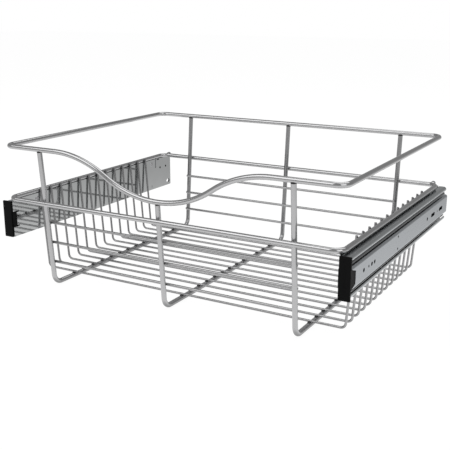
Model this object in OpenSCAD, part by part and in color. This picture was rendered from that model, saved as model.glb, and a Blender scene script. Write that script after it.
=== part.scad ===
// Pull out cabinet basket: a welded wire basket with a scooped front, hung between
// two full extension ball bearing slides that screw to the sides of a cabinet.
// X runs across the cabinet, the front faces -Y, and the feet stand on z = 0.

/* [Basket] */
// Width of the cabinet opening, over the outer faces of the two slides
opening_w = 457.2; // [400:0.1:620]
// Depth of the top rim, between the middles of its front and back wires
basket_d = 334; // [300:1:460]
// Height of the basket, from the feet to the top of the rim
basket_h = 176; // [170:1:230]
// Height of the middle rim, at the middle of its wire
middle_rim_z = 108; // [104:1:112]
// How much wider the top rim is than the middle rim
rim_flare = 1.6; // [0:0.1:3]
// How far the front and back uprights lean in at the feet
lean_in = 13.5; // [6:0.5:18]
// Width of the scoop in the front of the top rim
scoop_w = 282; // [200:1:290]
// Depth of the scoop
scoop_drop = 44; // [20:1:46]
// Place of the outer frame wires, as a share of half the rim's width
frame_share = 0.753; // [0.6:0.001:0.77]
// How much narrower the floor is than the middle rim, on each side
side_taper = 7.6; // [4:0.1:12]
// Distance from the front of the rim to the first floor wire
first_floor_wire = 50; // [36:1:60]
// Distance from the last floor wire to the back of the rim
last_floor_wire = 55; // [46:1:70]

/* [Wires] */
// Diameter of the rim and frame wires
frame_wire_d = 6; // [5:0.1:6.4]
// Diameter of the floor wires
floor_wire_d = 2.8; // [2.4:0.1:3.6]
// Diameter of the front and back cross wires
cross_wire_d = 3.4; // [2.4:0.1:4]
// Bend radius of the rims' corners
rim_bend_r = 12; // [9:0.5:16]
// Bend radius where an upright turns into a foot
foot_bend_r = 12; // [8:0.5:16]
// Bend radius where a floor wire turns up the side
floor_bend_r = 6; // [5:0.5:12]

/* [Slides] */
// Height of the slides
slide_h = 45; // [45:0.5:48]
// Thickness of each slide, and so its side clearance
slide_t = 12.7; // [12.7:0.05:13.2]
// Thickness of the rails' sheet steel
rail_sheet = 1.2; // [1:0.05:1.25]
// Thickness of the side plates
plate_t = 1.2; // [1:0.1:1.6]
// Diameter of the round screw holes in the cabinet rails
screw_hole_d = 4.6; // [4:0.1:5.2]
// Distance from the front of the rim to the first screw hole
first_screw_hole = 34; // [33:1:35]

/* [Hidden] */
$fn = 48;

// Gap left for the weld where two wires touch
weld_gap = 0.05;
// Clearance between a ball and its races
race_play = 0.15;
// Clearance round a ball in its cage
pocket_play = 0.1;
// Clearance between parts that meet face to face
face_gap = 0.1;
// Small extra length of a cutter past the face that it cuts
cut = 1;
// Extra diameter of a bend, and the length that its straight ends run into it
swell = 0.04;
bite = 0.1;
// Angle between the points of a rounded outline
arc_step = 9;

// Wires and rims
wire_r = frame_wire_d / 2;
foot_z = wire_r;
rim_z = basket_h - wire_r;
lean_slope = lean_in / (rim_z - foot_z);
lean_angle = atan(lean_slope);
slide_x = opening_w / 2 - slide_t;
plate_x = slide_x - plate_t;
middle_rim_half = plate_x + wire_r;
top_rim_half = middle_rim_half + rim_flare / 2;
middle_rim_out = (frame_wire_d + weld_gap) / cos(lean_angle) - upright_y(middle_rim_z);
frame_x = frame_share * top_rim_half;
floor_z = foot_z + wire_r + weld_gap + floor_wire_d / 2;
floor_half = floor_top_half() - side_taper;
floor_wire_tip = middle_rim_z + wire_r;
floor_wires = 13;
floor_pitch = (basket_d - first_floor_wire - last_floor_wire) / (floor_wires - 1);
cross_wires = 3;
cross_drop = 26.2;
cross_pitch = 25.6;
cross_overhang = 4.5;
cross_half = frame_x + cross_overhang;
upright_top_gap = 0.3;

// Slides: u is the distance out from the side plate, v the height above the middle of the slide
slide_drop = 1.2;
slide_top = middle_rim_z - wire_r - slide_drop;
slide_z = slide_top - slide_h / 2;
rail_front = 0.5;
rail_back = basket_d + 15;
travel = rail_back + 1;
cage_sheet = 0.6;
sheet_gap = 0.2;
wide_ball_r = 2;
narrow_ball_r = 1.6;
ball_u = 0.583 * slide_t;
wide_race_r = wide_ball_r + race_play;
narrow_race_r = narrow_ball_r + race_play;
wide_ball_v = slide_h / 2 - rail_sheet - wide_race_r;
middle_flange_v = wide_ball_v - wide_race_r - rail_sheet / 2;
narrow_ball_v = middle_flange_v - rail_sheet / 2 - narrow_race_r;
cabinet_flange_v = narrow_ball_v - narrow_race_r - rail_sheet / 2;
wide_cage_u = rail_sheet + sheet_gap + cage_sheet / 2;
middle_web_u = wide_cage_u + cage_sheet / 2 + sheet_gap + rail_sheet / 2;
narrow_cage_u = middle_web_u + rail_sheet / 2 + sheet_gap + cage_sheet / 2;
cabinet_web_u = slide_t - rail_sheet / 2;
middle_front = rail_front + 1.3;
middle_back = rail_back - 4.6;

// Corners of the rails and cages, at the middle of the sheet, and the ends of the races' lips
wide_corner_r = 1;
middle_corner_r = 2.4;
narrow_corner_r = 2.2;
cage_corner_r = 0.8;
wide_lip_end = -35;
narrow_lip_end = -150;

// Cages and their balls
cage_l = 164;
cage_mid = (middle_front + middle_back) / 2;
cage_reach = 0.9;
balls_in_row = 8;
ball_pitch = 20;

// Stops that trap the cages at full extension
web_stop_v = 5;
wide_stop_l = 2.5;
wide_stop_y = rail_back - 6;
middle_stop_l = 1.2;
race_stop_l = 2.2;
race_stop_y = rail_front + 0.6;
race_stop_half = [1.1, 1];

// Screw holes, on the cabinet furniture system's 32 mm pitch, and the small holes beside them
system_pitch = 32;
pilot_d = 3;
pilot_y = first_screw_hole + 14.5;
spare_hole_y = first_screw_hole + 23.5;
pilot_pair = [first_screw_hole + 108.5, 7];
slot_l = 16;
slot_y = [rail_back - 66, rail_back - 30];
rear_pilot_d = 2.4;
rear_pilot_y = rail_back - 46;
last_hole_gap = 84;

// Side plate: rivets, holes and the cuts in its top edge near the back
rivet_d = 3.4;
rivet_head_d = 6.4;
rivet_head_h = 1.2;
rivet_crown_d = 4;
rivet_y = [first_floor_wire - 6.5, rail_back - 52];
rivet_v = 17.5;
plate_hole_d = 3.2;
plate_hole_y = [rail_back - 29, rail_back - 13.7];
plate_hole_v = 9;
lock_slot_y = rail_back - 7.6;
lock_slot_v = -15.9;
lock_slot_d = 5.4;
lock_slot_l = 8.4;
slit_y = rail_back - 42;
slit_w = 1.6;
slit_bottom_v = 10.2;
edge_notch_y = rail_back - 38;
edge_notch_l = 7;
edge_notch_h = 2.5;
plate_inset = 0.5;
plate_corner_r = 1.5;
plate_near = -plate_t - cut;
plate_far = rail_sheet + cut;
corner_relief = 2;

// The plate's curled ear, which steps in from the plate and stands behind the middle rim
ear_r = 2.4;
ear_step = 2;
ear_foot = 0.3;
ear_rise = 0.9;
ear_leg = 2.8;
ear_w = 3;
ear_front = basket_d + middle_rim_out + wire_r + 0.4;

// Front caps: the tongues' middle and half heights, and how far they reach behind the rail's front
cap_front = -1.8;
cap_inset = 0.3;
cap_inner_inset = 0.9;
cap_rise = 0.3;
cap_corner_r = 0.5;
tongue_v = -0.5;
inner_tongue_half = 9.9;
inner_tongue_l = 6;
prong_l = 9.6;
prong_t = 1.7;
outer_root_half = 10.4;
outer_waist = [3, 8.9];
outer_tip = [10.1, 6.4];
outer_play = 0.5;

// The model is centred on its own depth
front_y = -middle_rim_out - wire_r;
middle_y = (front_y + rail_back) / 2;

// ---- Small functions ----

// Distance behind the top rim's front wire of an upright's middle, at height z
function upright_y(z) = lean_slope * (rim_z - z);

// Half the width between the floor wires' middles at the height of the middle rim
function floor_top_half() =
    middle_rim_half - (wire_r + floor_wire_d / 2 + weld_gap) / cos(side_angle());

// Slope of the floor wires' sides
function side_angle() = atan(side_taper / (middle_rim_z - floor_z));

// Unit vector from a to b
function dir(a, b) = (b - a) / norm(b - a);

// Signed angle that a path a, b, c turns through at b
function turn_at(a, b, c) =
    let (p = dir(a, b), q = dir(b, c))
    atan2(p.x * q.y - p.y * q.x, p.x * q.x + p.y * q.y);

// Length that a bend of radius r takes off each leg at corner b
function bend_cut(a, b, c, r) = r * tan(abs(turn_at(a, b, c)) / 2);

// Points on an arc
function arc(c, r, a0, a1) =
    let (steps = ceil(abs(a1 - a0) / arc_step))
    [for (i = [0 : steps]) let (a = a0 + (a1 - a0) * i / steps) c + r * [cos(a), sin(a)]];

// Mitre vector at point i of a path
function mitre(p, i) =
    let (
        n = len(p) - 1,
        before = dir(p[max(i - 1, 0)], p[max(i, 1)]),
        after = dir(p[min(i, n - 1)], p[min(i + 1, n)]),
        sum = before + after,
        side = [-sum.y, sum.x] / norm(sum)
    )
    side / (side * [-before.y, before.x]);

// A path moved sideways by d
function shifted(p, d) = [for (i = [0 : len(p) - 1]) p[i] + d * mitre(p, i)];

// Outline of a strip of sheet of thickness t along path p
function strip(p, t) =
    let (far = shifted(p, -t / 2))
    concat(shifted(p, t / 2), [for (i = [len(p) - 1 : -1 : 0]) far[i]]);

// A path for the upper half, joined to its mirror image below
function both_halves(p) =
    concat([for (i = [len(p) - 1 : -1 : 0]) [p[i].x, -p[i].y]], p);

// ---- Wire building ----

// A straight length of wire between two points of the plane
module wire_run(a, b, d) {
    step = b - a;
    translate([a.x, a.y, 0])
        rotate([0, 0, atan2(step.y, step.x)])
            rotate([0, 90, 0])
                cylinder(h = norm(step), d = d);
}

// A length of wire bent round the Z axis, from angle a0 on through sweep
module wire_arc(r, a0, sweep, d) {
    rotate([0, 0, a0])
        rotate_extrude(angle = sweep)
            translate([r, 0])
                circle(d = d);
}

// The bend at corner b of the path a, b, c
module wire_bend(a, b, c, r, d) {
    turn = turn_at(a, b, c);
    start = b - dir(a, b) * bend_cut(a, b, c, r);
    inward = sign(turn) * [-dir(a, b).y, dir(a, b).x];
    centre = start + r * inward;
    translate([centre.x, centre.y, 0])
        wire_arc(r, atan2(-inward.y, -inward.x) + min(turn, 0), abs(turn), d + swell);
}

// A bent wire through corners p of the plane, with one bend radius; each straight length
// runs a little way into the bends beside it, and a closed wire also bends at its first corner
module bent_wire(p, r, d, closed = false) {
    n = len(p);
    last = closed ? n - 1 : n - 2;
    for (i = [0 : last]) {
        a = p[i];
        b = p[(i + 1) % n];
        head = closed || i > 0 ? bend_cut(p[(i + n - 1) % n], a, b, r) - bite : 0;
        tail = closed || i < last ? bend_cut(a, b, p[(i + 2) % n], r) - bite : 0;
        wire_run(a + dir(a, b) * head, b - dir(a, b) * tail, d);
    }
    for (i = [closed ? 0 : 1 : last])
        wire_bend(p[(i + n - 1) % n], p[i], p[(i + 1) % n], r, d);
}

// Stands a drawing of the XY plane up in the XZ plane
module across() rotate([90, 0, 0]) children();

// Stands a drawing of the XY plane up in the YZ plane
module along() rotate([90, 0, 90]) children();

// Puts a part in its place, with the model centred on its depth
module placed() translate([0, -middle_y, 0]) children();

// Puts a slide part in its place: X is out from the side plate, Z up from the slide's middle
module on_right() placed() translate([slide_x, 0, slide_z]) children();
module on_left() mirror([1, 0, 0]) on_right() children();

// ---- Wire basket ----

// The scoop: two equal arcs on each side, in the plane that leans with the uprights
module scoop() {
    half = scoop_w / 2;
    r = (half * half + scoop_drop * scoop_drop) / (4 * scoop_drop);
    sweep = 2 * atan(scoop_drop / half);
    over = bite / r * 180 / PI;
    rotate([90 + lean_angle, 0, 0]) {
        for (side = [-1, 1])
            translate([side * half, -r, 0])
                wire_arc(r, side > 0 ? 90 : 90 - sweep - over, sweep + over, frame_wire_d + swell);
        translate([0, r - scoop_drop, 0])
            wire_arc(r, 270 - sweep, 2 * sweep, frame_wire_d + 2 * swell);
    }
}

module top_rim() {
    gap = scoop_w / 2 - bite;
    path = [
        [gap, 0], [top_rim_half, 0], [top_rim_half, basket_d],
        [-top_rim_half, basket_d], [-top_rim_half, 0], [-gap, 0]
    ];
    color("silver")
        placed()
            translate([0, 0, rim_z]) {
                bent_wire(path, rim_bend_r, frame_wire_d);
                scoop();
            }
}

module middle_rim() {
    front = -middle_rim_out;
    back = basket_d + middle_rim_out;
    path = [
        [middle_rim_half, front], [middle_rim_half, back],
        [-middle_rim_half, back], [-middle_rim_half, front]
    ];
    color("silver")
        placed()
            translate([0, 0, middle_rim_z])
                bent_wire(path, rim_bend_r, frame_wire_d, closed = true);
}

// A frame wire at x: front upright, foot and back upright in one piece
module frame_wire(x, front_top) {
    back_top = rim_z - wire_r - upright_top_gap;
    path = [
        [upright_y(front_top), front_top],
        [lean_in, foot_z],
        [basket_d - lean_in, foot_z],
        [basket_d - upright_y(back_top), back_top]
    ];
    color("silver")
        placed()
            translate([x, 0, 0])
                along()
                    bent_wire(path, foot_bend_r, frame_wire_d);
}

module side_frame_wire(x) frame_wire(x, rim_z - wire_r - upright_top_gap);

module left_frame_wire() side_frame_wire(-frame_x);

module right_frame_wire() side_frame_wire(frame_x);

module centre_frame_wire() {
    scoop_z = rim_z - scoop_drop * cos(lean_angle);
    frame_wire(0, scoop_z - wire_r - upright_top_gap);
}

// Floor wire i, counted from the front: across the feet and up both sides
module floor_wire(i) {
    top_half = floor_top_half() + wire_r * tan(side_angle());
    path = [
        [-top_half, floor_wire_tip], [-floor_half, floor_z],
        [floor_half, floor_z], [top_half, floor_wire_tip]
    ];
    color("silver")
        placed()
            translate([0, first_floor_wire + i * floor_pitch, 0])
                across()
                    bent_wire(path, floor_bend_r, floor_wire_d);
}

function floor_wire_name(i) = str("floor_wire_", i < 9 ? "0" : "", i + 1);

// Height of cross wire i, counted from the top
function cross_z(i) = middle_rim_z - cross_drop - i * cross_pitch;

// Distance behind the rim of cross wire i's middle, on the inner side of the uprights
function cross_y(i) =
    upright_y(cross_z(i)) + (wire_r + cross_wire_d / 2 + weld_gap) / cos(lean_angle);

module cross_wire(y, z) {
    color("silver")
        placed()
            translate([-cross_half, y, z])
                rotate([0, 90, 0])
                    cylinder(h = 2 * cross_half, d = cross_wire_d);
}

module front_cross_wire(i) cross_wire(cross_y(i), cross_z(i));

module back_cross_wire(i) cross_wire(basket_d - cross_y(i), cross_z(i));

// ---- Slide parts, for one side ----

// A length of rail or cage with the section p
module rail(p, t, front, back) {
    translate([0, back, 0])
        across()
            linear_extrude(height = back - front)
                polygon(strip(both_halves(p), t));
}

// A round hole through the slide's webs, from u = near to u = far
module web_hole(y, v, d, near = -cut, far = slide_t + cut) {
    translate([near, y, v])
        rotate([0, 90, 0])
            cylinder(h = far - near, d = d);
}

// A hole with round ends through the slide's webs, l long over all
module web_slot(y, v, d, l, near = -cut, far = slide_t + cut) {
    for (end = [-1, 1])
        web_hole(y + end * (l - d) / 2, v, d, near, far);
    translate([near, y - (l - d) / 2, v - d / 2])
        cube([far - near, l - d, d]);
}

// A plate in the plane of the slide, t thick, with its near face at u
module upright_plate(u, t) translate([u, 0, 0]) along() linear_extrude(height = t) children();

// Upper half of the wide rail's section: web, corner, flange and the race round the outer balls
function wide_section() =
    let (r = wide_corner_r)
    concat(
        arc([rail_sheet / 2 + r, slide_h / 2 - rail_sheet / 2 - r], r, 180, 90),
        arc([ball_u, wide_ball_v], wide_race_r + rail_sheet / 2, 90, wide_lip_end)
    );

// Upper half of the middle rail's section, which passes between the two rows of balls
function middle_section() =
    let (r = middle_corner_r)
    concat(
        arc([middle_web_u + r, middle_flange_v - r], r, 180, 90),
        arc([ball_u, narrow_ball_v], narrow_race_r + rail_sheet / 2, 90, 0)
    );

// Upper half of the narrow rail's section, with a lip that cradles the inner balls
function narrow_section() =
    let (r = narrow_corner_r)
    concat(
        arc([cabinet_web_u - r, cabinet_flange_v - r], r, 0, 90),
        arc([ball_u, narrow_ball_v], narrow_race_r + rail_sheet / 2, -90, narrow_lip_end)
    );

// Upper half of a cage's section
function cage_section(u, ball_v) =
    let (r = cage_corner_r)
    concat(arc([u + r, ball_v - r], r, 180, 90), [[ball_u + cage_reach, ball_v]]);

// Wide rail, fixed to the side plate
module basket_rail() {
    color("gainsboro") {
        difference() {
            rail(wide_section(), rail_sheet, rail_front, rail_back);
            plate_holes();
            rivet_holes();
        }
        translate([rail_sheet, wide_stop_y, -web_stop_v])
            cube([sheet_gap + cage_sheet, wide_stop_l, 2 * web_stop_v]);
    }
}

// Middle rail, which travels half as far as the basket
module middle_rail() {
    near_face = middle_web_u - rail_sheet / 2;
    far_face = middle_web_u + rail_sheet / 2;
    root = sheet_gap / 2;
    color("gainsboro") {
        difference() {
            rail(middle_section(), rail_sheet, middle_front, middle_back);
            for (hole = screw_rows())
                web_hole(hole + travel / 2, 0, 2 * screw_hole_d);
        }
        translate([near_face - cage_sheet - root, middle_front, -web_stop_v])
            cube([cage_sheet + 2 * root, middle_stop_l, 2 * web_stop_v]);
        translate([far_face - root, middle_back - middle_stop_l, -web_stop_v])
            cube([cage_sheet + 4 * root, middle_stop_l, 2 * web_stop_v]);
    }
}

// Distances of the first two screw holes, which are reached through the middle rail
function screw_rows() = [screw_y(0), screw_y(1)];

// Distance of screw hole n, counted along the 32 mm rows
function screw_y(n) = first_screw_hole + n * system_pitch;

// Narrow rail, screwed to the cabinet side
module cabinet_rail() {
    last_hole = floor((rail_back - last_hole_gap - first_screw_hole) / system_pitch);
    color("silver") {
        difference() {
            rail(narrow_section(), rail_sheet, rail_front, rail_back);
            upright_plate(cabinet_web_u - rail_sheet / 2 - cut, rail_sheet + 2 * cut)
                translate([0, tongue_v])
                    polygon(outer_tongue(outer_play));
            for (n = [0, 1, last_hole])
                web_hole(screw_y(n), 0, screw_hole_d);
            for (y = slot_y)
                web_slot(y, 0, screw_hole_d, slot_l);
            web_hole(pilot_y, 0, pilot_d);
            web_hole(spare_hole_y, 0, screw_hole_d);
            web_hole(rear_pilot_y, 0, rear_pilot_d);
            for (side = [-1, 1])
                web_hole(pilot_pair.x, side * pilot_pair.y, pilot_d);
        }
        for (side = [-1, 1])
            race_stop(side * (narrow_ball_v - narrow_race_r / 2));
    }
}

// A stop in one of the narrow rail's races, at height v
module race_stop(v) {
    translate([ball_u - race_stop_half.x, race_stop_y, v - race_stop_half.y])
        cube([2 * race_stop_half.x, race_stop_l, 2 * race_stop_half.y]);
}

// Cage that spaces a rail's upper and lower rows of balls
module cage(u, ball_v, ball_r, windows) {
    front = cage_mid - cage_l / 2;
    color("darkgray")
        difference() {
            rail(cage_section(u, ball_v), cage_sheet, front, front + cage_l);
            for (k = [0 : balls_in_row - 1])
                translate([ball_u, ball_y(k), -slide_h / 2])
                    cylinder(h = slide_h, r = ball_r + pocket_play);
            for (y = windows)
                web_slot(y, 0, 2 * screw_hole_d, 3 * screw_hole_d);
        }
}

// Place of ball k along its row
function ball_y(k) = cage_mid + (k - (balls_in_row - 1) / 2) * ball_pitch;

// Upper and lower rows of balls
module balls(v, r) {
    color("lightgray")
        for (k = [0 : balls_in_row - 1])
            for (side = [-1, 1])
                translate([ball_u, ball_y(k), side * v])
                    sphere(r = r);
}

module wide_cage() cage(wide_cage_u, wide_ball_v, wide_ball_r, []);

module wide_balls() balls(wide_ball_v, wide_ball_r);

module narrow_cage() {
    windows = [for (y = screw_rows()) y + travel / 4];
    cage(narrow_cage_u, narrow_ball_v, narrow_ball_r, windows);
}

module narrow_balls() balls(narrow_ball_v, narrow_ball_r);

// Holes through the plate and its rail near the back: two small ones and a slot for a lock
module plate_holes() {
    for (y = plate_hole_y)
        web_hole(y, plate_hole_v, plate_hole_d, plate_near, plate_far);
    web_slot(lock_slot_y, lock_slot_v, lock_slot_d, lock_slot_l, plate_near, plate_far);
}

module rivet_holes() {
    for (y = rivet_y)
        for (side = [-1, 1])
            web_hole(y, side * rivet_v, rivet_d + 2 * weld_gap, plate_near, plate_far);
}

// Rivets that join the side plate and the wide rail: the lower ones are flush on both faces,
// and the upper ones have a head on the plate
module plate_rivets() {
    color("gray")
        for (y = rivet_y) {
            rivet_shank(y, -rivet_v);
            rivet_shank(y, rivet_v);
            translate([-plate_t - rivet_head_h, y, rivet_v])
                rotate([0, 90, 0])
                    cylinder(h = rivet_head_h, d1 = rivet_crown_d, d2 = rivet_head_d);
        }
}

module rivet_shank(y, v) {
    translate([-plate_t, y, v])
        rotate([0, 90, 0])
            cylinder(h = plate_t + rail_sheet, d = rivet_d);
}

// Side plate: a flat sheet under the middle rim, with an ear at its back corner
module side_plate() {
    top = plate_top() - slide_z;
    low = top - corner_drop();
    bottom = -slide_h / 2;
    back = rail_back - plate_inset;
    r = plate_corner_r;
    bends = [rim_bend_r - middle_rim_out, basket_d + middle_rim_out - rim_bend_r];
    relief = [bends[0] + corner_relief, bends[1] - corner_relief];
    color("lightgray") {
        difference() {
            upright_plate(-plate_t, plate_t)
                polygon(concat(
                    [[rail_front, low], [rail_front, bottom]],
                    arc([back - r, bottom + r], r, -90, 0),
                    arc([back - r, low - r], r, 0, 90),
                    [[relief[1], low], [relief[1], top], [relief[0], top], [relief[0], low]]
                ));
            plate_holes();
            rivet_holes();
            upright_plate(-plate_t - cut, plate_t + 2 * cut) {
                translate([0, tongue_v])
                    polygon(inner_tongue(face_gap));
                translate([slit_y, slit_bottom_v])
                    square([slit_w, slide_h]);
                translate([edge_notch_y, top - edge_notch_h])
                    square([edge_notch_l, slide_h]);
            }
        }
        ear(low - plate_t);
    }
}

// Height of the side plate's top edge, which meets the rim's underside
function plate_top() =
    middle_rim_z - sqrt(wire_r * wire_r - pow(wire_r - plate_t, 2)) - weld_gap;

// How much lower the plate's top edge lies where it passes under the rim's corners
function corner_drop() = plate_top() - (middle_rim_z - wire_r - weld_gap);

// The curled ear at the plate's back corner, which stands on the plate from height base
module ear(base) {
    middle = -plate_t / 2;
    bend = base + plate_t + ear_foot;
    centre = [middle - ear_step - ear_r, middle_rim_z - slide_z + ear_rise];
    section = concat(
        [[middle, base], [middle, bend], [middle - ear_step, bend + ear_step]],
        arc(centre, ear_r, 0, 180),
        [[centre.x - ear_r, centre.y - ear_leg]]
    );
    translate([0, ear_front + ear_w, 0])
        across()
            linear_extrude(height = ear_w)
                polygon(strip(section, plate_t));
}

// Outline of the cap's inner tongue: a short body with a prong along each long edge
function inner_tongue(play) =
    let (
        high = inner_tongue_half + play,
        low = inner_tongue_half - prong_t - play,
        body = rail_front + inner_tongue_l + play,
        tip = rail_front + prong_l + play,
        root = rail_front - cut
    )
    [
        [root, -high], [tip, -high], [tip, -low], [body, -low],
        [body, low], [tip, low], [tip, high], [root, high]
    ];

// Outline of the cap's outer tongue, which tapers towards its tip
function outer_tongue(play) =
    let (
        root = [rail_front - cut, outer_root_half + play],
        waist = [rail_front + outer_waist.x, outer_waist.y + play],
        tip = [rail_front + outer_tip.x + play, outer_tip.y + play]
    )
    [root, waist, tip, [tip.x, -tip.y], [waist.x, -waist.y], [root.x, -root.y]];

// Plastic cap over the slide's front end
module front_cap() {
    inner = cap_inner_inset - plate_t;
    outer = slide_t - cap_inset;
    r = cap_corner_r;
    half = slide_h / 2 + cap_rise;
    back = rail_front - face_gap;
    color("#202022") {
        translate([0, back, 0])
            across()
                linear_extrude(height = back - cap_front)
                    polygon(concat(
                        arc([outer - r, half - r], r, 0, 90),
                        arc([inner + r, half - r], r, 90, 180),
                        arc([inner + r, r - half], r, 180, 270),
                        arc([outer - r, r - half], r, 270, 360)
                    ));
        upright_plate(cabinet_web_u - rail_sheet / 2, rail_sheet - cap_inset)
            translate([0, tongue_v])
                polygon(outer_tongue(0));
        upright_plate(-plate_t, plate_t - face_gap)
            translate([0, tongue_v])
                polygon(inner_tongue(0));
    }
}

// ---- Left and right slides ----

module left_side_plate() on_left() side_plate();
module left_basket_rail() on_left() basket_rail();
module left_front_cap() on_left() front_cap();
module left_plate_rivets() on_left() plate_rivets();
module left_wide_cage() on_left() wide_cage();
module left_wide_balls() on_left() wide_balls();
module left_middle_rail() on_left() middle_rail();
module left_narrow_cage() on_left() narrow_cage();
module left_narrow_balls() on_left() narrow_balls();
module left_cabinet_rail() on_left() cabinet_rail();

module right_side_plate() on_right() side_plate();
module right_basket_rail() on_right() basket_rail();
module right_front_cap() on_right() front_cap();
module right_plate_rivets() on_right() plate_rivets();
module right_wide_cage() on_right() wide_cage();
module right_wide_balls() on_right() wide_balls();
module right_middle_rail() on_right() middle_rail();
module right_narrow_cage() on_right() narrow_cage();
module right_narrow_balls() on_right() narrow_balls();
module right_cabinet_rail() on_right() cabinet_rail();

// ---- What is drawn ----

top_rim();
middle_rim();
left_frame_wire();
centre_frame_wire();
right_frame_wire();
for (i = [0 : floor_wires - 1])
    floor_wire(i);
for (i = [0 : cross_wires - 1])
    front_cross_wire(i);
for (i = [0 : cross_wires - 1])
    back_cross_wire(i);
left_side_plate();
left_basket_rail();
left_front_cap();
left_plate_rivets();
left_wide_cage();
left_wide_balls();
left_middle_rail();
left_narrow_cage();
left_narrow_balls();
left_cabinet_rail();
right_side_plate();
right_basket_rail();
right_front_cap();
right_plate_rivets();
right_wide_cage();
right_wide_balls();
right_middle_rail();
right_narrow_cage();
right_narrow_balls();
right_cabinet_rail();
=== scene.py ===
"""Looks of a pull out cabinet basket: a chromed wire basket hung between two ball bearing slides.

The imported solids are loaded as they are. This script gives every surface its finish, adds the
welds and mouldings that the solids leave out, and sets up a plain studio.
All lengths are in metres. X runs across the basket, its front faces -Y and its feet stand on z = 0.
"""

from __future__ import annotations

import logging
import math
from collections.abc import Callable
from dataclasses import dataclass, field
from enum import Enum

import bpy
from mathutils import Matrix, Vector

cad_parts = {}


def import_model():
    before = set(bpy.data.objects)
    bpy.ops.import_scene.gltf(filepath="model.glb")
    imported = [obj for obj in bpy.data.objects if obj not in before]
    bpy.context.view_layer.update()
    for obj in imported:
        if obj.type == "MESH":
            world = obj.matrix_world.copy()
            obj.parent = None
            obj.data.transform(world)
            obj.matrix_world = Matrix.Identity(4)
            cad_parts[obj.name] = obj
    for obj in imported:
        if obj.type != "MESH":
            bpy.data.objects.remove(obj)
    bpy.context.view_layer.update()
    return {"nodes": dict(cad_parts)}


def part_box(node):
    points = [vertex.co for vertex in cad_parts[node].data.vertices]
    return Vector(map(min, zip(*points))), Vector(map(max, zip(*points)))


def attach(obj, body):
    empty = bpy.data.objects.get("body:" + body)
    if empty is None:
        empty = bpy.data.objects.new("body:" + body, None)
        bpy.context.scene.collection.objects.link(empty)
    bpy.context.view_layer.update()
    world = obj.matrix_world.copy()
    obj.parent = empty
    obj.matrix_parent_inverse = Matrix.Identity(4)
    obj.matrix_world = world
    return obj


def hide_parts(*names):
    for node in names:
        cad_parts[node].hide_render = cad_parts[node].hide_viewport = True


LOG = logging.getLogger("basket")
MM = 0.001
SMOOTH_ANGLE = math.radians(40)


# ---- Small helpers ----


class Side(Enum):
    """The two sides of the basket, with the sign of their X."""

    LEFT = -1
    RIGHT = 1

    @property
    def word(self) -> str:
        """The side's name as it stands at the front of a node's name."""
        return self.name.lower()


@dataclass(frozen=True)
class Box:
    """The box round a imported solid."""

    low: Vector
    high: Vector

    @classmethod
    def of(cls, node: str) -> "Box":
        """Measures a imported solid.

        Args:
            node: The solid's name.

        Returns:
            Its box.
        """
        low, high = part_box(node)
        return cls(low, high)

    @property
    def centre(self) -> Vector:
        """The middle of the box."""
        return (self.low + self.high) / 2

    @property
    def size(self) -> Vector:
        """The box's lengths along X, Y and Z."""
        return self.high - self.low


def deselect_all() -> None:
    """Leaves object mode with nothing selected."""
    if bpy.context.object and bpy.context.object.mode != "OBJECT":
        bpy.ops.object.mode_set(mode="OBJECT")
    bpy.ops.object.select_all(action="DESELECT")


def pick(obj: bpy.types.Object) -> None:
    """Makes an object the only one selected, and the active one.

    Args:
        obj: The object.
    """
    deselect_all()
    obj.select_set(True)
    bpy.context.view_layer.objects.active = obj


def named(name: str) -> bpy.types.Object:
    """Names the object that was added last.

    Args:
        name: The name for the object and its mesh.

    Returns:
        The object.
    """
    obj = bpy.context.object
    obj.name = name
    obj.data.name = name
    return obj


def settle(obj: bpy.types.Object) -> bpy.types.Object:
    """Applies all modifiers and the object's place, so that its mesh holds the place.

    Args:
        obj: The object to finish.

    Returns:
        The same object, at the origin.
    """
    pick(obj)
    for modifier in list(obj.modifiers):
        bpy.ops.object.modifier_apply(modifier=modifier.name)
    bpy.ops.object.transform_apply(location=True, rotation=True, scale=True)
    return obj


def select_faces(
    obj: bpy.types.Object, wanted: Callable[[bpy.types.MeshPolygon], bool]
) -> None:
    """Enters edit mode with only some faces selected.

    Args:
        obj: The object.
        wanted: Says of a face whether it is selected.
    """
    bpy.ops.object.mode_set(mode="EDIT")
    bpy.ops.mesh.select_mode(type="FACE")
    bpy.ops.mesh.select_all(action="DESELECT")
    bpy.ops.object.mode_set(mode="OBJECT")
    for face in obj.data.polygons:
        face.select = wanted(face)
    bpy.ops.object.mode_set(mode="EDIT")


def twin_at(master: bpy.types.Object, place: Matrix) -> bpy.types.Object:
    """Copies a finished piece, with a mesh of its own, to a place.

    Args:
        master: The piece, modelled round the origin.
        place: Where the copy's mesh goes.

    Returns:
        The copy, at the origin.
    """
    twin = master.copy()
    twin.data = master.data.copy()
    twin.data.transform(place)
    bpy.context.collection.objects.link(twin)
    return twin


def copy_to(master: bpy.types.Object, places: list[Matrix], name: str) -> bpy.types.Object:
    """Copies a finished piece to several places and joins the copies.

    Args:
        master: The piece, modelled round the origin. It is removed.
        places: A matrix for each copy.
        name: The name of the joined piece.

    Returns:
        The joined piece, at the origin.
    """
    copies = [twin_at(master, place) for place in places]
    bpy.data.objects.remove(master)
    deselect_all()
    for twin in copies:
        twin.select_set(True)
    bpy.context.view_layer.objects.active = copies[0]
    bpy.ops.object.join()
    return named(name)


def fit(obj: bpy.types.Object, body: str, material: bpy.types.Material) -> None:
    """Gives a new piece its body and its finish, and logs it.

    Args:
        obj: The piece.
        body: The body that it moves with.
        material: The finish.
    """
    obj.data.materials.clear()
    obj.data.materials.append(material)
    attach(obj, body)
    LOG.info("%s: %d faces on %s", obj.name, len(obj.data.polygons), body)


# ---- Shared effects ----

NOISE_MIDDLE = 0.5  # the mean of a noise texture's Fac


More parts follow.
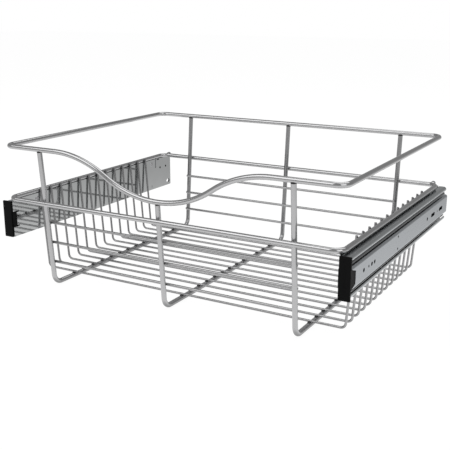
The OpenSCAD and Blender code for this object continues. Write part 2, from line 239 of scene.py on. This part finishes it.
class EffectGroup:
    """A shader node group with named sockets, to which nodes are added one by one."""

    def __init__(self, name: str) -> None:
        """Starts an empty group.

        Args:
            name: The group's name.
        """
        self.tree = bpy.data.node_groups.new(name, "ShaderNodeTree")
        self.source = self.tree.nodes.new("NodeGroupInput")
        self.drain = self.tree.nodes.new("NodeGroupOutput")

    def takes(self, name: str, kind: str = "Float", value: float | None = None) -> None:
        """Adds an input socket.

        Args:
            name: The socket's name.
            kind: Float, Vector or Color.
            value: The value when nothing is joined to it.
        """
        socket = self.tree.interface.new_socket(
            name=name, in_out="INPUT", socket_type=f"NodeSocket{kind}"
        )
        if value is not None:
            socket.default_value = value

    def gives(self, name: str, kind: str = "Float") -> None:
        """Adds an output socket.

        Args:
            name: The socket's name.
            kind: Float, Vector or Color.
        """
        self.tree.interface.new_socket(
            name=name, in_out="OUTPUT", socket_type=f"NodeSocket{kind}"
        )

    def node(self, kind: str, links: dict | None = None, **settings: object) -> bpy.types.Node:
        """Adds a node to the group.

        Args:
            kind: The node's type without its ShaderNode prefix.
            links: What each input gets: a socket to join or a plain value.
            **settings: The node's own properties.

        Returns:
            The node.
        """
        return add_node(self.tree, kind, links, **settings)

    def end(self, name: str, socket: bpy.types.NodeSocket) -> None:
        """Joins a socket to one of the group's outputs.

        Args:
            name: The output's name.
            socket: What the output gets.
        """
        self.tree.links.new(socket, self.drain.inputs[name])


def add_node(
    tree: bpy.types.NodeTree, kind: str, links: dict | None = None, **settings: object
) -> bpy.types.Node:
    """Adds a node to a tree, with its settings and inputs.

    Args:
        tree: The node tree.
        kind: The node's type without its ShaderNode prefix.
        links: What each input gets, by name or number: a socket to join or a plain value.
        **settings: The node's own properties.

    Returns:
        The node.
    """
    node = tree.nodes.new("ShaderNode" + kind)
    for name, value in settings.items():
        setattr(node, name, value)
    for key, value in (links or {}).items():
        if isinstance(value, bpy.types.NodeSocket):
            tree.links.new(value, node.inputs[key])
        else:
            node.inputs[key].default_value = value
    return node


def multiply(tree: bpy.types.NodeTree, first: object, second: object) -> bpy.types.NodeSocket:
    """Adds a node that multiplies two colours.

    Args:
        tree: The node tree.
        first: A socket to join, or a plain colour.
        second: The other one.

    Returns:
        The product's socket.
    """
    node = add_node(
        tree,
        "Mix",
        {"Factor": 1.0, "A": first, "B": second},
        data_type="RGBA",
        blend_type="MULTIPLY",
    )
    return node.outputs["Result"]


def plating_haze() -> bpy.types.NodeTree:
    """Builds the cloudy film that handling leaves on plated steel.

    Returns:
        A group with a Vector, Scale, Amount and Roughness in, and a Shade and a Roughness out.
    """
    group = EffectGroup("plating_haze")
    group.takes("Vector", "Vector")
    group.takes("Scale", value=60.0)
    group.takes("Amount", value=0.1)
    group.takes("Roughness", value=0.2)
    group.gives("Shade", "Color")
    group.gives("Roughness")
    ins = group.source.outputs
    cloud = group.node(
        "TexNoise", {"Vector": ins["Vector"], "Scale": ins["Scale"], "Detail": 4.0}
    )
    centred = group.node(
        "Math", {0: cloud.outputs["Fac"], 1: NOISE_MIDDLE}, operation="SUBTRACT"
    )
    swing = group.node("Math", {0: centred.outputs[0], 1: ins["Amount"]}, operation="MULTIPLY")
    shade = group.node("Math", {0: swing.outputs[0], 1: 1.0}, operation="ADD")
    rough = group.node("Math", {0: ins["Roughness"], 1: shade.outputs[0]}, operation="MULTIPLY")
    colour = group.node("CombineColor", {i: shade.outputs[0] for i in range(3)})
    group.end("Shade", colour.outputs[0])
    group.end("Roughness", rough.outputs[0])
    return group.tree


def rolling_grain() -> bpy.types.NodeTree:
    """Builds the fine lines that rolling or drawing leaves along one axis.

    Returns:
        A group with a Vector, Stretch and Scale in, and a Height out.
    """
    group = EffectGroup("rolling_grain")
    group.takes("Vector", "Vector")
    group.takes("Stretch", "Vector")
    group.takes("Scale", value=900.0)
    group.gives("Height")
    ins = group.source.outputs
    drawn = group.node(
        "VectorMath", {0: ins["Vector"], 1: ins["Stretch"]}, operation="MULTIPLY"
    )
    lines = group.node(
        "TexNoise",
        {"Vector": drawn.outputs[0], "Scale": ins["Scale"], "Detail": 3.0, "Roughness": 0.6},
    )
    group.end("Height", lines.outputs["Fac"])
    return group.tree


def fine_scuffs() -> bpy.types.NodeTree:
    """Builds short scratches that lie every way.

    Returns:
        A group with a Vector, Scale and Width in, and a Mask out that is 1 in a scratch.
    """
    warp_scale, warp = 30.0, 0.004
    patch_scale, bare_share = 220.0, 0.56
    group = EffectGroup("fine_scuffs")
    group.takes("Vector", "Vector")
    group.takes("Scale", value=140.0)
    group.takes("Width", value=0.03)
    group.gives("Mask")
    ins = group.source.outputs
    bend = group.node(
        "TexNoise", {"Vector": ins["Vector"], "Scale": warp_scale, "Detail": 2.0}
    )
    soft = group.node("VectorMath", {0: bend.outputs["Color"], "Scale": warp}, operation="SCALE")
    warped = group.node("VectorMath", {0: ins["Vector"], 1: soft.outputs[0]})
    cells = group.node(
        "TexVoronoi",
        {"Vector": warped.outputs[0], "Scale": ins["Scale"]},
        feature="DISTANCE_TO_EDGE",
    )
    line = group.node(
        "Math", {0: cells.outputs["Distance"], 1: ins["Width"]}, operation="LESS_THAN"
    )
    patches = group.node(
        "TexNoise", {"Vector": ins["Vector"], "Scale": patch_scale, "Detail": 1.0}
    )
    some = group.node(
        "Math", {0: patches.outputs["Fac"], 1: bare_share}, operation="GREATER_THAN"
    )
    mask = group.node("Math", {0: line.outputs[0], 1: some.outputs[0]}, operation="MULTIPLY")
    group.end("Mask", mask.outputs[0])
    return group.tree


@dataclass
class Effects:
    """The effects that several finishes share, each built once."""

    haze: bpy.types.NodeTree = field(default_factory=plating_haze)
    grain: bpy.types.NodeTree = field(default_factory=rolling_grain)
    scuffs: bpy.types.NodeTree = field(default_factory=fine_scuffs)


# ---- Finishes ----


def new_material(name: str) -> tuple[bpy.types.Material, bpy.types.Node, bpy.types.NodeSocket]:
    """Starts a material with one Principled shader.

    Args:
        name: The material's name.

    Returns:
        The material, its shader and the Object coordinates.
    """
    material = bpy.data.materials.new(name)
    material.use_nodes = True
    shader = material.node_tree.nodes["Principled BSDF"]
    place = add_node(material.node_tree, "TexCoord").outputs["Object"]
    return material, shader, place


@dataclass(frozen=True)
class PlatedSteel:
    """Bright plated steel: a metal with a thin haze, a drawn grain and a few scuffs."""

    name: str
    tint: tuple[float, float, float]
    roughness: float
    haze: float = 0.12
    haze_scale: float = 45.0
    grain: tuple[float, float, float] = (1.0, 1.0, 1.0)
    grain_scale: float = 900.0
    grain_bump: float = 0.00002
    scuff: float = 0.08

    def make(self, effects: Effects) -> bpy.types.Material:
        """Builds the material.

        Args:
            effects: The shared effects.

        Returns:
            The material.
        """
        material, shader, place = new_material(self.name)
        tree = material.node_tree
        haze = add_node(
            tree,
            "Group",
            {
                "Vector": place,
                "Scale": self.haze_scale,
                "Amount": self.haze,
                "Roughness": self.roughness,
            },
            node_tree=effects.haze,
        )
        grain = add_node(
            tree,
            "Group",
            {"Vector": place, "Stretch": self.grain, "Scale": self.grain_scale},
            node_tree=effects.grain,
        )
        scuffs = add_node(tree, "Group", {"Vector": place}, node_tree=effects.scuffs)
        tinted = multiply(tree, (*self.tint, 1.0), haze.outputs["Shade"])
        tree.links.new(tinted, shader.inputs["Base Color"])
        worn = add_node(
            tree,
            "Math",
            {0: scuffs.outputs["Mask"], 1: self.scuff, 2: haze.outputs["Roughness"]},
            operation="MULTIPLY_ADD",
        )
        tree.links.new(worn.outputs[0], shader.inputs["Roughness"])
        bump = add_node(
            tree,
            "Bump",
            {"Height": grain.outputs["Height"], "Distance": self.grain_bump, "Strength": 1.0},
        )
        tree.links.new(bump.outputs["Normal"], shader.inputs["Normal"])
        shader.inputs["Metallic"].default_value = 1.0
        return material


@dataclass(frozen=True)
class MouldedPlastic:
    """Black moulded plastic with a fine eroded texture."""

    name: str
    colour: tuple[float, float, float]
    roughness: float
    shine: float
    haze: float = 0.3
    haze_scale: float = 90.0
    pebble_scale: float = 1800.0
    pebble_bump: float = 0.00006

    def make(self, effects: Effects) -> bpy.types.Material:
        """Builds the material.

        Args:
            effects: The shared effects.

        Returns:
            The material.
        """
        material, shader, place = new_material(self.name)
        tree = material.node_tree
        haze = add_node(
            tree,
            "Group",
            {
                "Vector": place,
                "Scale": self.haze_scale,
                "Amount": self.haze,
                "Roughness": self.roughness,
            },
            node_tree=effects.haze,
        )
        tinted = multiply(tree, (*self.colour, 1.0), haze.outputs["Shade"])
        tree.links.new(tinted, shader.inputs["Base Color"])
        tree.links.new(haze.outputs["Roughness"], shader.inputs["Roughness"])
        pebble = add_node(
            tree, "TexNoise", {"Vector": place, "Scale": self.pebble_scale, "Detail": 2.0}
        )
        bump = add_node(
            tree,
            "Bump",
            {"Height": pebble.outputs["Fac"], "Distance": self.pebble_bump, "Strength": 0.6},
        )
        tree.links.new(bump.outputs["Normal"], shader.inputs["Normal"])
        shader.inputs["Specular IOR Level"].default_value = self.shine
        return material


@dataclass
class Finishes:
    """Every finish on the basket, built once and shared by its pieces."""

    effects: Effects = field(default_factory=Effects)

    def __post_init__(self) -> None:
        """Builds the materials."""
        along_y = (1.0, 0.02, 1.0)
        self.wire = PlatedSteel(
            "chromed_wire", (0.50, 0.50, 0.505), 0.15, haze=0.1, scuff=0.03
        ).make(self.effects)
        self.thin_wire = PlatedSteel(
            "chromed_thin_wire", (0.40, 0.40, 0.404), 0.17, haze=0.15, scuff=0.03
        ).make(self.effects)
        # Near-black weld finish: partly the heat tint of real welds, partly painted shade and
        # painted reflection at the joints.
        self.weld = PlatedSteel(
            "weld_heat_tint_and_painted_shade", (0.06, 0.06, 0.061), 0.36, haze=0.4, haze_scale=500.0,
            grain_scale=1500.0, grain_bump=0.0002,
        ).make(self.effects)
        self.plate = PlatedSteel(
            "bright_plate", (0.54, 0.55, 0.55), 0.022, haze=0.1, grain=along_y,
            grain_bump=0.000002, scuff=0.02,
        ).make(self.effects)
        self.wide_rail = PlatedSteel(
            "zinc_wide_rail", (0.44, 0.46, 0.47), 0.2, grain=along_y, scuff=0.02
        ).make(self.effects)
        # The middle rail is darkened far below zinc as painted shade, for the shade deep inside the
        # closed slide.
        self.middle_rail = PlatedSteel(
            "middle_rail_painted_shade", (0.17, 0.175, 0.18), 0.34, grain=along_y, scuff=0.02
        ).make(self.effects)
        self.cabinet_rail = PlatedSteel(
            "zinc_cabinet_rail", (0.425, 0.447, 0.468), 0.3, grain=along_y, scuff=0.03
        ).make(self.effects)
        # The cages and balls are darkened as painted shade, for the shade inside the closed slide.
        self.cage = PlatedSteel(
            "ball_cage_painted_shade", (0.06, 0.06, 0.06), 0.5, grain=along_y
        ).make(self.effects)
        self.ball = PlatedSteel(
            "polished_ball_painted_shade", (0.12, 0.12, 0.12), 0.25, haze=0.05, grain_bump=0.000002
        ).make(self.effects)
        self.rivet = PlatedSteel(
            "pressed_rivet", (0.42, 0.42, 0.43), 0.32, grain_bump=0.00006
        ).make(self.effects)
        self.cap = MouldedPlastic(
            "black_cap", (0.003, 0.003, 0.0032), 0.55, shine=0.09
        ).make(self.effects)

    def for_node(self, node: str) -> bpy.types.Material:
        """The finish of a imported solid.

        Args:
            node: The solid's name.

        Returns:
            Its material.
        """
        endings = {
            "side_plate": self.plate,
            "basket_rail": self.wide_rail,
            "middle_rail": self.middle_rail,
            "cabinet_rail": self.cabinet_rail,
            "cage": self.cage,
            "balls": self.ball,
            "rivets": self.rivet,
            "front_cap": self.cap,
        }
        for ending, material in endings.items():
            if node.endswith(ending):
                return material
        return self.thin_wire if "floor_wire" in node or "cross_wire" in node else self.wire


def dress_solids(nodes: dict[str, bpy.types.Object], finishes: Finishes) -> None:
    """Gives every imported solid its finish.

    Args:
        nodes: The solids by name.
        finishes: The finishes.
    """
    for name, obj in nodes.items():
        obj.data.materials.clear()
        obj.data.materials.append(finishes.for_node(name))
    LOG.info("dressed %d solids", len(nodes))


# ---- Welds ----


@dataclass(frozen=True)
class Bead:
    """A kind of weld bead, in millimetres: half its X, Y and Z, and how far its skin swells."""

    name: str
    half: tuple[float, float, float]
    lump: float
    segments: int = 14
    rings: int = 8
    skin_scale: float = 2.2

    def model(self) -> bpy.types.Object:
        """Models the bead round the origin: a lens with an uneven skin.

        Returns:
            The bead.
        """
        deselect_all()
        bpy.ops.mesh.primitive_uv_sphere_add(
            segments=self.segments, ring_count=self.rings, radius=1.0
        )
        obj = named(self.name)
        bpy.ops.object.mode_set(mode="EDIT")
        bpy.ops.mesh.select_all(action="SELECT")
        bpy.ops.transform.resize(value=tuple(Vector(self.half) * MM))
        bpy.ops.object.mode_set(mode="OBJECT")
        clouds = bpy.data.textures.new(self.name + "_skin", "CLOUDS")
        clouds.noise_scale = self.skin_scale * MM
        skin = obj.modifiers.new("skin", "DISPLACE")
        skin.texture = clouds
        skin.texture_coords = "LOCAL"
        skin.strength = self.lump * MM
        skin.mid_level = 0.5
        settle(obj)
        bpy.ops.object.shade_smooth()
        return obj

    def at(self, places: list[tuple[float, float, float]]) -> bpy.types.Object:
        """Models the bead once and copies it to all its places.

        Args:
            places: The middles of the beads.

        Returns:
            All the beads, as one piece.
        """
        moves = [Matrix.Translation(place) for place in places]
        return copy_to(self.model(), moves, self.name + "_beads")


@dataclass
class Welds:
    """The weld beads of the basket, where two wires cross or one butts on another. Their near-black
    finish is partly heat tint and partly painted shade.
    """

    finishes: Finishes
    frame_r: float = 3.0 * MM
    cross_r: float = 1.7 * MM
    frame_wires: tuple[str, ...] = ("left_frame_wire", "centre_frame_wire", "right_frame_wire")
    # The floor beads are stretched along the feet, beyond a real bead's length, to carry the
    # painted shade and painted reflection beside the floor wires.
    floor_bead: Bead = Bead("floor_weld_with_painted_shade", (2.2, 3.9, 1.05), 0.35)
    tip_bead: Bead = Bead("tip_weld", (0.8, 1.9, 2.4), 0.3)
    cross_bead: Bead = Bead("cross_weld", (2.3, 0.85, 2.0), 0.3)
    rim_bead: Bead = Bead("rim_weld", (2.6, 0.9, 2.6), 0.35)
    butt_bead: Bead = Bead("butt_weld", (3.5, 3.3, 0.9), 0.3)

    def build(self) -> list[bpy.types.Object]:
        """Builds all the beads.

        Returns:
            The pieces.
        """
        pieces = [
            self.floor_bead.at(self.floor_places()),
            self.tip_bead.at(self.tip_places()),
            self.cross_bead.at(self.cross_places()),
            self.rim_bead.at(self.rim_places()),
            self.butt_bead.at(self.butt_places()),
        ]
        for piece in pieces:
            fit(piece, "basket", self.finishes.weld)
        return pieces

    def frame_middles(self) -> list[float]:
        """Measures the frame wires.

        Returns:
            The X of each one's middle, from the left.
        """
        return [Box.of(name).centre.x for name in self.frame_wires]

    def floor_rows(self) -> list[float]:
        """Measures the floor wires.

        Returns:
            The Y of each one's middle, from the front.
        """
        return [Box.of(f"floor_wire_{i:02d}").centre.y for i in range(1, 14)]

    def floor_places(self) -> list[tuple[float, float, float]]:
        """Finds where the floor wires lie on the feet of the frame wires.

        Returns:
            The middles of the beads.
        """
        top = 2 * self.frame_r
        return [(x, y, top) for x in self.frame_middles() for y in self.floor_rows()]

    def tip_places(self) -> list[tuple[float, float, float]]:
        """Finds where the floor wires' tips lie inside the middle rim.

        Returns:
            The middles of the beads.
        """
        rim = Box.of("middle_rim")
        inside = rim.high.x - 2 * self.frame_r
        return [
            (side.value * inside, y, rim.centre.z) for side in Side for y in self.floor_rows()
        ]

    def cross_places(self) -> list[tuple[float, float, float]]:
        """Finds where the cross wires lie inside the front and back uprights.

        Returns:
            The middles of the beads.
        """
        places = []
        for row, outward in (("front", -1), ("back", 1)):
            for i in range(1, 4):
                wire = Box.of(f"{row}_cross_wire_{i}").centre
                y = wire.y + outward * self.cross_r
                places += [(x, y, wire.z) for x in self.frame_middles()]
        return places

    def rim_places(self) -> list[tuple[float, float, float]]:
        """Finds where the uprights pass inside the middle rim.

        Returns:
            The middles of the beads.
        """
        rim = Box.of("middle_rim")
        places = []
        for outward, edge in ((-1, rim.low.y), (1, rim.high.y)):
            y = edge - outward * 2 * self.frame_r
            places += [(x, y, rim.centre.z) for x in self.frame_middles()]
        return places

    def butt_places(self) -> list[tuple[float, float, float]]:
        """Finds where the uprights butt on the top rim, but for the one under the scoop.

        Returns:
            The middles of the beads.
        """
        places = []
        for name in ("left_frame_wire", "right_frame_wire"):
            box = Box.of(name)
            for y in (box.low.y + self.frame_r, box.high.y - self.frame_r):
                places.append((box.centre.x, y, box.high.z))
        middle = Box.of("centre_frame_wire")
        places.append((0.0, middle.high.y - self.frame_r, middle.high.z))
        return places


# ---- Cross wires ----


@dataclass
class CrossWires:
    """The thin wires across the front and the back, sheared close to the outer uprights."""

    finishes: Finishes
    overhang: float = 1.2 * MM
    shear_round: float = 0.45 * MM
    facets: int = 32

    def master(self, radius: float, half: float) -> bpy.types.Object:
        """Models one wire round the origin, along X, with rounded sheared ends.

        Args:
            radius: The wire's radius.
            half: Half its length.

        Returns:
            The wire.
        """
        deselect_all()
        bpy.ops.mesh.primitive_cylinder_add(
            vertices=self.facets, radius=radius, depth=2 * half, rotation=(0.0, math.pi / 2, 0.0)
        )
        obj = named("cross_wire_master")
        settle(obj)
        select_faces(obj, lambda face: abs(face.normal.x) > 0.9)
        bpy.ops.mesh.region_to_loop()
        bpy.ops.mesh.bevel(offset=self.shear_round, segments=3, profile=0.6)
        bpy.ops.object.mode_set(mode="OBJECT")
        bpy.ops.object.shade_smooth_by_angle(angle=SMOOTH_ANGLE)
        return obj

    def build(self) -> list[bpy.types.Object]:
        """Builds the six wires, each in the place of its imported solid.

        Returns:
            The pieces.
        """
        solid = Box.of("front_cross_wire_1")
        half = Box.of("right_frame_wire").centre.x + self.overhang
        master = self.master(solid.size.z / 2, half)
        pieces = []
        for node in (f"{row}_cross_wire_{i}" for row in ("front", "back") for i in (1, 2, 3)):
            twin = twin_at(master, Matrix.Translation(Box.of(node).centre))
            twin.name = twin.data.name = node + "_sheared"
            fit(twin, "basket", self.finishes.thin_wire)
            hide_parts(node)
            pieces.append(twin)
        bpy.data.objects.remove(master)
        return pieces


# ---- Buffers ----


@dataclass
class Buffers:
    """The plastic buffers in the back ends of the cabinet rails, on which the slides close.

    near and far are the distances of a buffer's front and back from the rail's back end.
    """

    finishes: Finishes
    web: float = 1.25 * MM
    width: float = 8.8 * MM
    height: float = 20.4 * MM
    near: float = 3.9 * MM
    far: float = 0.5 * MM
    corner: float = 0.55 * MM
    wall: float = 1.3 * MM
    pocket: float = 1.6 * MM

    def build(self) -> list[bpy.types.Object]:
        """Builds both buffers, each in the back end of its rail.

        Returns:
            The pieces.
        """
        master = self.master()
        pieces = []
        for side in Side:
            rail = Box.of(f"{side.word}_cabinet_rail")
            outer = rail.high.x if side is Side.RIGHT else rail.low.x
            place = (
                outer - side.value * (self.web + self.width / 2),
                rail.high.y - (self.near + self.far) / 2,
                rail.centre.z,
            )
            twin = twin_at(master, Matrix.Translation(place))
            twin.name = twin.data.name = f"{side.word}_rail_buffer"
            fit(twin, "cabinet_rails", self.finishes.cap)
            pieces.append(twin)
        bpy.data.objects.remove(master)
        return pieces

    def master(self) -> bpy.types.Object:
        """Models one buffer round the origin: a rounded block with a pocket in its back face.

        Returns:
            The buffer.
        """
        size = (self.width, self.near - self.far, self.height)
        deselect_all()
        bpy.ops.mesh.primitive_cube_add(size=1.0, scale=size)
        obj = named("buffer_master")
        settle(obj)
        select_faces(obj, lambda face: face.normal.y > 0.9)
        bpy.ops.mesh.inset(thickness=self.wall, depth=0.0)
        bpy.ops.mesh.inset(thickness=0.0, depth=-self.pocket)
        bpy.ops.object.mode_set(mode="OBJECT")
        rounding = obj.modifiers.new("rounding", "BEVEL")
        rounding.width = self.corner
        rounding.segments = 3
        rounding.limit_method = "ANGLE"
        settle(obj)
        bpy.ops.object.shade_smooth_by_angle(angle=SMOOTH_ANGLE)
        return obj


# ---- Studio ----

Stops = tuple[tuple[float, float], ...]


def grey(value: float) -> tuple[float, float, float, float]:
    """Makes an opaque grey.

    Args:
        value: Its red, green and blue.

    Returns:
        The colour.
    """
    return (value, value, value, 1.0)


@dataclass(frozen=True)
class SoftBox:
    """A square lamp that points at the basket's middle."""

    name: str
    place: tuple[float, float, float]
    size: float
    power: float
    target: tuple[float, float, float] = (0.0, 0.0, 0.08)

    def hang(self) -> None:
        """Adds the lamp to the scene."""
        lamp = bpy.data.lights.new(self.name, "AREA")
        lamp.shape = "SQUARE"
        lamp.size = self.size
        lamp.energy = self.power
        obj = bpy.data.objects.new(self.name, lamp)
        bpy.context.collection.objects.link(obj)
        obj.location = self.place
        aim = Vector(self.target) - Vector(self.place)
        obj.rotation_euler = aim.to_track_quat("-Z", "Y").to_euler()


@dataclass
class Studio:
    """A white floor, soft light and the camera.

    The stops of the grey ramps are pairs of a place and a grey. They say what metal mirrors: the
    floor dimmed by how flat it is seen, a painted falloff of its light; the floor dimmed by how
    near it is, a painted contact shadow, with the distance as a share of contact_reach; sky the
    room by height and depth the room from front to back.
    """

    camera_place: tuple[float, float, float] = (0.479466, -0.854074, 0.338363)
    azimuth: float = 29.9096
    elevation: float = 15.7466
    roll: float = -0.0397
    focal_px: float = 785.0566
    frame_px: float = 450.0
    sensor_mm: float = 36.0
    floor_size: float = 14.0
    floor_drop: float = 0.2 * MM
    floor_glow: float = 0.93
    floor_shade: float = 0.1
    floor_grey: float = 0.8
    room_light: float = 0.6
    painted_falloff: Stops = ((0.55, 1.0), (0.71, 0.88), (0.80, 0.55), (1.0, 0.42))
    painted_contact_shadow: Stops = ((0.0, 0.4), (0.2, 1.0))
    contact_reach: float = 0.1
    sky: Stops = ((0.0, 0.45), (0.12, 0.42), (0.3, 0.37), (1.0, 0.37))
    depth: Stops = ((0.0, 1.0), (0.5, 0.85))
    soft_boxes: tuple[SoftBox, ...] = (
        SoftBox("key_lamp", (-0.9, -1.3, 1.5), 1.5, 10.0),
        SoftBox("fill_lamp", (1.6, -0.9, 0.9), 1.25, 6.0),
        SoftBox("top_lamp", (0.2, 0.6, 1.9), 1.7, 11.0),
    )

    def build(self) -> None:
        """Builds the floor, the world, the lamps and the camera."""
        self.floor()
        self.world()
        for box in self.soft_boxes:
            box.hang()
        self.camera()
        LOG.info("studio with %d lamps", len(self.soft_boxes))

    def floor(self) -> None:
        """Lays a wide floor that shows white and keeps a soft shadow. In mirrors it shows a painted
        falloff where it is seen flat and a painted contact shadow close to the basket.
        """
        deselect_all()
        bpy.ops.mesh.primitive_plane_add(
            size=self.floor_size, location=(0.0, 0.0, -self.floor_drop)
        )
        floor = named("studio_floor")
        material = bpy.data.materials.new("white_floor")
        material.use_nodes = True
        tree = material.node_tree
        tree.nodes.clear()
        card = add_node(tree, "BsdfDiffuse", {"Color": grey(self.floor_grey)})
        shade = add_node(tree, "BsdfDiffuse", {"Color": grey(self.floor_shade)})
        glow = add_node(tree, "Emission", {"Color": grey(1.0), "Strength": self.floor_glow})
        white = add_node(tree, "AddShader", {0: shade.outputs[0], 1: glow.outputs[0]})
        # Painted falloff: the floor seen in mirrors darkens where it is seen at a slant.
        slant = add_node(tree, "LayerWeight", {"Blend": 0.5}).outputs["Facing"]
        painted_falloff = self.ramp(tree, slant, self.painted_falloff)
        path = add_node(tree, "LightPath").outputs
        # Painted contact shadow: the floor seen in mirrors darkens where it lies close to what
        # mirrors it.
        share = add_node(
            tree,
            "Math",
            {0: path["Ray Length"], 1: 1.0 / self.contact_reach},
            operation="MULTIPLY",
        )
        painted_contact_shadow = self.ramp(tree, share.outputs[0], self.painted_contact_shadow)
        dimmed = multiply(tree, painted_falloff, painted_contact_shadow)
        mirrored = add_node(tree, "Emission", {"Color": dimmed, "Strength": 1.0})
        plain = add_node(
            tree,
            "MixShader",
            {0: path["Is Glossy Ray"], 1: white.outputs[0], 2: mirrored.outputs[0]},
        )
        mix = add_node(
            tree, "MixShader", {0: self.seen(tree), 1: card.outputs[0], 2: plain.outputs[0]}
        )
        add_node(tree, "OutputMaterial", {"Surface": mix.outputs[0]})
        floor.data.materials.append(material)

    def seen(self, tree: bpy.types.NodeTree) -> bpy.types.NodeSocket:
        """Adds a mask that is 1 for the rays that show the background.

        Args:
            tree: The node tree.

        Returns:
            The mask.
        """
        path = add_node(tree, "LightPath").outputs
        first = add_node(
            tree,
            "Math",
            {0: path["Is Camera Ray"], 1: path["Is Glossy Ray"]},
            operation="MAXIMUM",
        )
        both = add_node(
            tree,
            "Math",
            {0: first.outputs[0], 1: path["Is Transmission Ray"]},
            operation="MAXIMUM",
        )
        return both.outputs[0]

    def ramp(
        self, tree: bpy.types.NodeTree, value: bpy.types.NodeSocket, stops: Stops
    ) -> bpy.types.NodeSocket:
        """Adds a grey ramp.

        Args:
            tree: The node tree.
            value: What the ramp reads.
            stops: The place and the grey of each stop.

        Returns:
            The ramp's colour.
        """
        node = add_node(tree, "ValToRGB", {0: value})
        while len(node.color_ramp.elements) < len(stops):
            node.color_ramp.elements.new(0.5)
        for element, (place, shade) in zip(node.color_ramp.elements, stops):
            element.position = place
            element.color = grey(shade)
        return node.outputs[0]

    def world(self) -> None:
        """Makes the room: white where the camera looks, and in mirrors darker above and behind."""
        world = bpy.data.worlds.new("studio")
        bpy.context.scene.world = world
        world.use_nodes = True
        tree = world.node_tree
        tree.nodes.clear()
        path = add_node(tree, "LightPath").outputs
        way = add_node(tree, "TexCoord").outputs["Generated"]
        axes = add_node(tree, "SeparateXYZ", {0: way}).outputs
        height = self.ramp(tree, axes["Z"], self.sky)
        depth = self.ramp(tree, axes["Y"], self.depth)
        room = multiply(tree, height, depth)
        shown = add_node(tree, "Background", {"Color": room, "Strength": 1.0})
        plain = add_node(tree, "Background", {"Color": grey(1.0), "Strength": 1.0})
        soft = add_node(tree, "Background", {"Color": grey(1.0), "Strength": self.room_light})
        lit = add_node(
            tree,
            "MixShader",
            {0: self.seen(tree), 1: soft.outputs[0], 2: shown.outputs[0]},
        )
        final = add_node(
            tree,
            "MixShader",
            {0: path["Is Camera Ray"], 1: lit.outputs[0], 2: plain.outputs[0]},
        )
        add_node(tree, "OutputWorld", {"Surface": final.outputs[0]})

    def camera(self) -> None:
        """Stands the camera where its picture frames the basket."""
        az, el = math.radians(self.azimuth), math.radians(self.elevation)
        ahead = Vector((-math.sin(az) * math.cos(el), math.cos(az) * math.cos(el), -math.sin(el)))
        right = Vector((math.cos(az), math.sin(az), 0.0))
        up = right.cross(ahead)
        turn = Matrix.Rotation(math.radians(self.roll), 3, ahead)
        right, up = turn @ right, turn @ up
        data = bpy.data.cameras.new("camera")
        data.sensor_width = self.sensor_mm
        data.lens = self.focal_px / self.frame_px * self.sensor_mm
        data.clip_start = 0.01
        data.clip_end = 50.0
        camera = bpy.data.objects.new("camera", data)
        bpy.context.collection.objects.link(camera)
        axes = Matrix((right, up, -ahead)).transposed().to_4x4()
        camera.matrix_world = Matrix.Translation(self.camera_place) @ axes
        bpy.context.scene.camera = camera
        bpy.context.scene.view_settings.view_transform = "Standard"


# ---- Building the scene ----


def main() -> None:
    """Builds the finishes, the new pieces and the studio, in that order."""
    logging.basicConfig(level=logging.INFO, format="%(name)s: %(message)s")
    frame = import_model()
    finishes = Finishes()
    dress_solids(frame["nodes"], finishes)
    Welds(finishes).build()
    CrossWires(finishes).build()
    Buffers(finishes).build()
    Studio().build()


if __name__ == "__main__":
    main()
